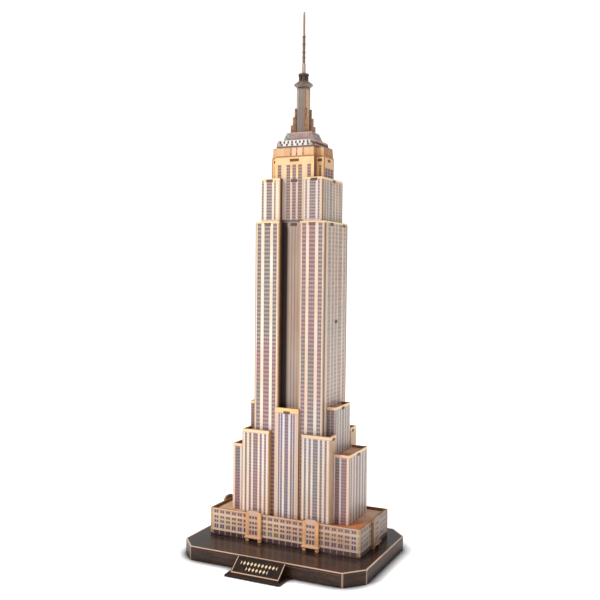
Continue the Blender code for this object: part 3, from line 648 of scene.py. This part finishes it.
def base_print(name, level):
    """Dark mottled base, with a pale line along its edges and down the folds of its skirt."""
    net = Net(name)
    low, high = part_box("base_top")
    half = high.x / MM
    middle, depth = (high.y + low.y) / 2 / MM, (high.y - low.y) / 2 / MM
    across, back = abs(net.x), abs(net.y - middle)
    dark, light = ((40, 25, 20), (60, 40, 33)) if level else ((42, 29, 23), (64, 45, 36))
    streak = net.noise(0.05, 4.0, (1, 0.35, 6), 3.0)
    fine = net.noise(0.6, 3.0, (1, 0.4, 1))
    colour = net.mix(streak.over(0.52, 0.25), dark, light)
    colour = net.mix(fine.over(0.6, 0.2) * 0.25, colour, (92, 66, 54))
    wide, deep = BASE_CHAMFER
    if level:
        corner = ((half - across) * deep + (depth - back - deep) * wide) / math.hypot(wide, deep)
        away = net.math("MINIMUM", half - across, net.math("MINIMUM", depth - back, corner))
        line = away.under(1.2, 0.3)
    else:
        front_fold = abs(across - (half - wide)).under(0.7, 0.3) * back.over(depth - 1.0, 0.3)
        side_fold = abs(back - (depth - deep)).under(0.7, 0.3) * across.over(half - 1.0, 0.3)
        fold = front_fold.either(side_fold) * 0.4
        line = fold.either(net.z.over(high.z / MM - 0.5, 0.2) * 0.8)
    colour = net.mix(line * 0.85, colour, KEYLINE)
    gloss = 0.14 if level else 0.34
    net.shader.inputs["Specular IOR Level"].default_value = 0.5 if level else 0.22
    rough = gloss + streak * 0.12 + fine * 0.06
    return net.finish(colour, fine * 0.3 + streak * 0.7, 0.04, rough)


def nameplate_print():
    """Dark panel with cream edge lines and two plain rows of small diamonds in place of a name."""
    net = Net("nameplate_print")
    net.shader.inputs["Specular IOR Level"].default_value = 0.2
    _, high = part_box("nameplate")
    foot = 1.6
    share = (net.z - foot) / (high.z / MM - foot)
    across = abs(net.x)
    dark = net.mix(net.noise(0.25, 3.0).over(0.5, 0.3), (32, 20, 15), (48, 31, 23))
    edge = across.within(22.2, 22.8, 0.2) * share.over(0.08, 0.04)
    foot_line = share.within(0.07, 0.12, 0.03) * across.under(22.8, 0.2)
    colour = net.mix(edge.either(foot_line), dark, (214, 180, 152))
    for level, reach, pitch in ((0.68, 17.5, 3.5), (0.38, 10.5, 3.5)):
        cell = (net.x / pitch + 0.5).fract() - 0.5
        diamond = (abs(cell) * 1.7 + abs(share - level) * 5.0).under(0.56, 0.12)
        colour = net.mix(diamond * across.under(reach, 0.3), colour, (228, 204, 166))
    colour = net.mix(net.z.under(1.7, 0.2) * 0.9, colour, (44, 29, 23))
    grain = paper(net)
    return net.finish(colour, grain, 0.05, 0.34 + grain * 0.12)


DECK_FOOT_LINE, DECK_RAIL = 374.9, 379.8


def deck_front_print():
    """The deck's front and back parapets: cream, with a row of round dots below a row of ovals."""
    net = Net("deck_front", coat=0.1)
    dots = abs((net.x / 5.3).fract() - 0.5) * 5.3
    dots = net.math("SQRT", dots * dots + (net.z - 376.1) * (net.z - 376.1)).under(1.15, 0.4)
    ovals = abs((net.x / 3.9 + 0.25).fract() - 0.5) * 3.9
    ovals = net.math("SQRT", ovals * ovals + (net.z - 378.3) * (net.z - 378.3) * 0.5).under(1.0, 0.4)
    colour = net.mix(net.noise(0.2, 2.0).over(0.5, 0.3), (220, 210, 206), (198, 186, 182))
    colour = net.mix(net.x.under(-14.0, 1.5), colour, (158, 138, 142))
    colour = net.mix(net.x.over(14.6, 1.5), colour, (140, 140, 126))
    colour = net.mix(dots.either(ovals), colour, (46, 34, 38))
    colour = net.mix(net.z.under(DECK_FOOT_LINE, 0.3), colour, (96, 70, 62))
    colour = net.mix(net.z.over(DECK_RAIL, 0.2) * 0.5, colour, (150, 132, 126))
    grain = paper(net)
    return net.finish(colour, grain, 0.08, 0.44 + grain * 0.1)


def deck_side_print():
    """The deck's left and right parapets: pink, with a dark brown strip."""
    net = Net("deck_side", coat=0.1)
    colour = net.mix(net.noise(0.2, 2.0).over(0.5, 0.3), (190, 150, 140), (168, 128, 120))
    colour = net.mix(net.z.within(376.2, 378.4, 0.4), colour, (70, 44, 34))
    colour = net.mix(net.z.under(DECK_FOOT_LINE, 0.3), colour, (96, 66, 56))
    grain = paper(net)
    return net.finish(colour, grain, 0.08, 0.44 + grain * 0.1)


def plinth_print():
    """The mast's foot: mauve walls, and a speckled grey-green slope at two opposite corners."""
    net = Net("plinth_print", coat=0.1)
    speck = net.noise(1.3, 3.0)
    slope = abs(net.x).over(8.9, 0.3) * (net.x * net.y).over(0.0, 0.5)
    wall = net.mix(net.noise(0.3, 2.0).over(0.5, 0.3), (176, 148, 142), (150, 122, 120))
    bars = (net.x / 2.4).fract() - 0.5
    wall = net.mix(abs(bars).under(0.14, 0.08) * 0.5, wall, (104, 74, 76))
    tile = net.mix(speck.over(0.52, 0.12), (164, 168, 146), (80, 82, 72))
    colour = net.mix(slope, wall, tile)
    colour = net.mix(net.z.over(387.7, 0.3) * 0.6, colour, (198, 164, 144))
    return net.finish(colour, speck, 0.1, 0.47 + speck * 0.12)


def mast_print(name, axis, light, dark):
    """The square mast: vertical strips of glazing between light ribs."""
    net = Net(name, coat=0.25)
    along = net.x if axis == "x" else net.y
    strip = abs(along).within(1.0, 3.0, 0.3)
    rows = ((net.z - 0.8) / 2.1).fract().within(0.2, 0.8, 0.15)
    colour = net.mix(net.noise(0.15, 2.0).over(0.5, 0.3), light, scaled(light, 0.9))
    colour = net.mix(strip * rows * 0.7, colour, dark)
    outside = net.seen_side(axis)
    colour = net.mix(outside.under(-3.0, 0.4) * 0.7, colour, (184, 152, 122))
    colour = net.mix(outside.over(1.3 if axis == "x" else 3.0, 0.4) * 0.8, colour, (126, 90, 66))
    colour = net.mix(abs(along).over(4.15, 0.3) * 0.7, colour, (72, 46, 34))
    colour = net.mix(net.z.over(428.4, 0.4) * 0.7, colour, (84, 66, 60))
    grain = paper(net)
    return net.finish(colour, grain - strip * 0.6, 0.1, 0.4 + grain * 0.1)


def fin_print():
    """The stepped fins: gold brown, darker towards the mast, with a lighter outer edge."""
    net = Net("fin_print", coat=0.2)
    away = net.math("SQRT", net.x * net.x + net.y * net.y)
    colour = net.mix(away.over(8.2, 2.4), (84, 52, 32), (144, 98, 56))
    colour = net.mix(net.noise(0.3, 2.0).over(0.55, 0.2) * 0.4, colour, (190, 144, 104))
    colour = net.mix(net.z.under(391.0, 1.5) * 0.5, colour, (92, 62, 46))
    grain = paper(net)
    return net.finish(colour, grain, 0.08, 0.42 + grain * 0.1)


def turned_print(name, light, dark):
    """A small turned piece: brushed round its axis."""
    net = Net(name, coat=0.2)
    ring = net.noise(1.2, 3.0, (0.2, 0.2, 3.0))
    colour = net.mix(ring.over(0.5, 0.3), light, dark)
    return net.finish(colour, ring, 0.08, 0.36 + ring * 0.14)


def spire_print():
    """The spire: tan foot, dark ringed middle and gold tip."""
    net = Net("spire_print", 0.3, coat=0.2)
    ring = net.noise(0.8, 3.0, (0.3, 0.3, 3.0))
    colour = net.mix(net.z.over(453.0, 1.0), (170, 146, 130), (96, 72, 52))
    colour = net.mix(net.z.over(479.0, 2.0), colour, (140, 114, 84))
    colour = net.mix(ring.over(0.55, 0.2) * 0.4, colour, (120, 90, 66))
    return net.finish(colour, ring, 0.05, 0.32 + ring * 0.12)


# Which face gets which material

def dress(name, **planes):
    """Gives each face of a CAD node its material by the plane of the node's box that it lies in.

    far and near are the box's X planes, front and back its Y planes, top and under its Z planes.
    x, y and z take the other faces by their direction."""
    node = frame["nodes"][name]
    low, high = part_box(name)
    near_x, far_x = sorted((low.x, high.x), key=abs)
    places = {"far": (0, far_x), "near": (0, near_x), "front": (1, low.y), "back": (1, high.y),
              "top": (2, high.z), "under": (2, low.z)}
    keys = sorted(set(planes.values()) | {"inside", "edge"})
    mesh = node.data
    mesh.materials.clear()
    for key in keys:
        mesh.materials.append(MATERIALS[key])
    for face in mesh.polygons:
        axis = max(range(3), key=lambda a: abs(face.normal[a]))
        chosen = planes.get("xyz"[axis], "edge" if axis == 2 else "inside")
        for side, key in planes.items():
            if side in places and places[side][0] == axis:
                if abs(face.center[axis] - places[side][1]) < 0.25 * MM:
                    chosen = key
        face.material_index = keys.index(chosen)


MATERIALS = {
    **board_prints(), **tower_prints(), **crown_prints(),
    **block_prints(), **podium_prints(), **mast_prints()}


def dress_all():
    for side in ("left", "right"):
        dress(f"shaft_{side}", front="shaft_front", back="shaft_front",
              far="shaft_side", near="return")
        dress(f"upper_shaft_{side}", front="upper_front", back="upper_front",
              far="upper_side", near="upper_return")
        dress(f"crown_{side}", front="crown_corner", back="crown_corner",
              far="crown_side", y="crown_corner")
        for end in ("front", "back"):
            dress(f"corner_block_{end}_{side}", front="corner_front", back="corner_front",
                  far="corner_side", near="return")
            dress(f"mast_fin_{end}_{side}", x="fin", y="fin", z="fin")
            dress(f"entrance_{end}_{side}", x="entrance_x", y="entrance_x", z="entrance_x")
        dress(f"entrance_{side}", x="entrance_y", y="entrance_y", z="entrance_y")
        dress(f"side_block_{side}", front="side_front", back="side_front", far="side_side")
        dress(f"wing_{side}", front="wing_front", back="wing_front", far="wing_side")
        dress(f"wing_{side}_roof", z="roof", x="tab")
        dress(f"corner_plate_{side}", z="roof", x="tab", y="tab")
        dress(f"podium_{side}_wall", far="podium_side", y="inside")
    for end in ("front", "back"):
        dress(f"podium_{end}_wall", **{end: "podium_front"}, x="podium_side")
        dress(f"core_wall_{end}", y="core")
        dress(f"centre_block_{end}", y="centre_front", z="edge")
        dress(f"centre_ledge_{end}", z="roof", y="tab")
    for name in ("podium_roof", "side_plate", "shaft_plate", "upper_plate", "crown_plate"):
        dress(name, z="roof", x="tab", y="tab")
    dress("middle_plate", x="tab", y="tab")
    dress("crown_band", x="band_side", y="band_front", z="roof")
    dress("deck", x="deck_wall_y", y="deck_wall_x", z="deck_floor")
    dress("plinth", x="plinth", y="plinth", z="plinth")
    dress("mast_shaft", x="mast_side", y="mast_front")
    dress("mast_collar", x="metal", y="metal", z="metal")
    dress("lantern", x="lantern", y="lantern", z="lantern")
    dress("spire", x="spire", y="spire", z="spire")
    dress("base_top", x="skirt", y="skirt", z="base")
    for side in ("front", "right", "back", "left"):
        dress(f"skirt_{side}", x="skirt", y="skirt", z="edge")
    dress("nameplate", x="skirt", y="plate", z="plate")
    for name in ("base_rib_long", "base_rib_cross"):
        dress(name, x="inside", y="inside", z="edge")


dress_all()


# Floor, light and camera

FLOOR_REACH, FLOOR_DROP = 40.0, 0.0003
SHADOW_REACH = 0.013
LIT_HEIGHT = 0.2
SKY_LIGHT, BACKDROP_LIGHT = 0.45, 1.1
# The camera's azimuth, elevation and roll in degrees, its place in metres, and its lens in millimetres
VIEW_ANGLES = (25.26, 2.09, 0.585)
VIEW_PLACE = (0.3228, -0.6872, 0.2617)
SENSOR_WIDTH, FOCAL_LENGTH = 36.0, 48.76

def floor():
    """A wide pale floor that glows evenly, with a painted contact shadow close to whatever stands on it."""
    mesh = bpy.data.meshes.new("floor")
    reach = FLOOR_REACH
    outline = [(-reach, -reach, 0), (reach, -reach, 0), (reach, reach, 0), (-reach, reach, 0)]
    mesh.from_pydata(outline, [], [(0, 1, 2, 3)])
    item = bpy.data.objects.new("floor", mesh)
    bpy.context.scene.collection.objects.link(item)
    item.location.z = -FLOOR_DROP
    net = Net("floor_paper", 0.9)
    # Painted contact shadow: an AO node darkens the floor's paint and dims its glow close to the model.
    near = net.node("ShaderNodeAmbientOcclusion", samples=8)
    near.inputs["Distance"].default_value = SHADOW_REACH
    clear = Term(net, near.outputs["AO"]).over(0.75, 0.5)
    glow = clear * 0.72
    net.shader.inputs["Emission Color"].default_value = (1, 1, 1, 1)
    net.put(glow, net.shader.inputs["Emission Strength"])
    grain = net.noise(0.02, 2.0)
    paint = net.mix(grain, (236, 236, 236), (242, 242, 242))
    mesh.materials.append(net.finish(net.mix(clear, (20, 16, 14), paint)))


def lamp(name, azimuth, elevation, distance, size, power, colour=(1, 1, 1)):
    """A square area light that looks at the middle of the tower."""
    light = bpy.data.lights.new(name, "AREA")
    light.size = size
    light.energy = power
    light.color = colour
    item = bpy.data.objects.new(name, light)
    a, e = math.radians(azimuth), math.radians(elevation)
    back = Vector((math.sin(a) * math.cos(e), -math.cos(a) * math.cos(e), math.sin(e)))
    item.location = Vector((0, 0, LIT_HEIGHT)) + back * distance
    item.rotation_euler = (-back).to_track_quat("-Z", "Y").to_euler()
    bpy.context.scene.collection.objects.link(item)


def world():
    made = bpy.data.worlds.new("studio")
    bpy.context.scene.world = made
    made.use_nodes = True
    tree = made.node_tree
    back = tree.nodes["Background"]
    back.inputs[0].default_value = (1, 1, 1, 1)
    back.inputs[1].default_value = SKY_LIGHT
    white = tree.nodes.new("ShaderNodeBackground")
    white.inputs[1].default_value = BACKDROP_LIGHT
    path = tree.nodes.new("ShaderNodeLightPath")
    choice = tree.nodes.new("ShaderNodeMixShader")
    tree.links.new(path.outputs["Is Camera Ray"], choice.inputs[0])
    tree.links.new(back.outputs[0], choice.inputs[1])
    tree.links.new(white.outputs[0], choice.inputs[2])
    tree.links.new(choice.outputs[0], tree.nodes["World Output"].inputs[0])
    white.inputs[0].default_value = (1, 1, 1, 1)


def camera():
    """Right of the front, a little above the middle, slightly turned."""
    azimuth, elevation, roll = map(math.radians, VIEW_ANGLES)
    back = Vector((
        math.sin(azimuth) * math.cos(elevation),
        -math.cos(azimuth) * math.cos(elevation),
        math.sin(elevation)))
    right = Vector((math.cos(azimuth), math.sin(azimuth), 0))
    up = back.cross(right)
    turned_right = right * math.cos(roll) + up * math.sin(roll)
    turned_up = up * math.cos(roll) - right * math.sin(roll)
    lens = bpy.data.cameras.new("camera")
    lens.sensor_width = SENSOR_WIDTH
    lens.lens = FOCAL_LENGTH
    lens.clip_end = 50.0
    item = bpy.data.objects.new("camera", lens)
    item.matrix_world = Matrix.Translation(VIEW_PLACE) @ Matrix(
        (turned_right, turned_up, back)).transposed().to_4x4()
    bpy.context.scene.collection.objects.link(item)
    bpy.context.scene.camera = item


floor()
lamp("key", -35, 38, 2.6, 0.5, 47, (1.0, 0.98, 0.95))
lamp("fill", 70, 20, 2.6, 1.6, 14)
world()
camera()
bpy.context.scene.view_settings.view_transform = "Standard"
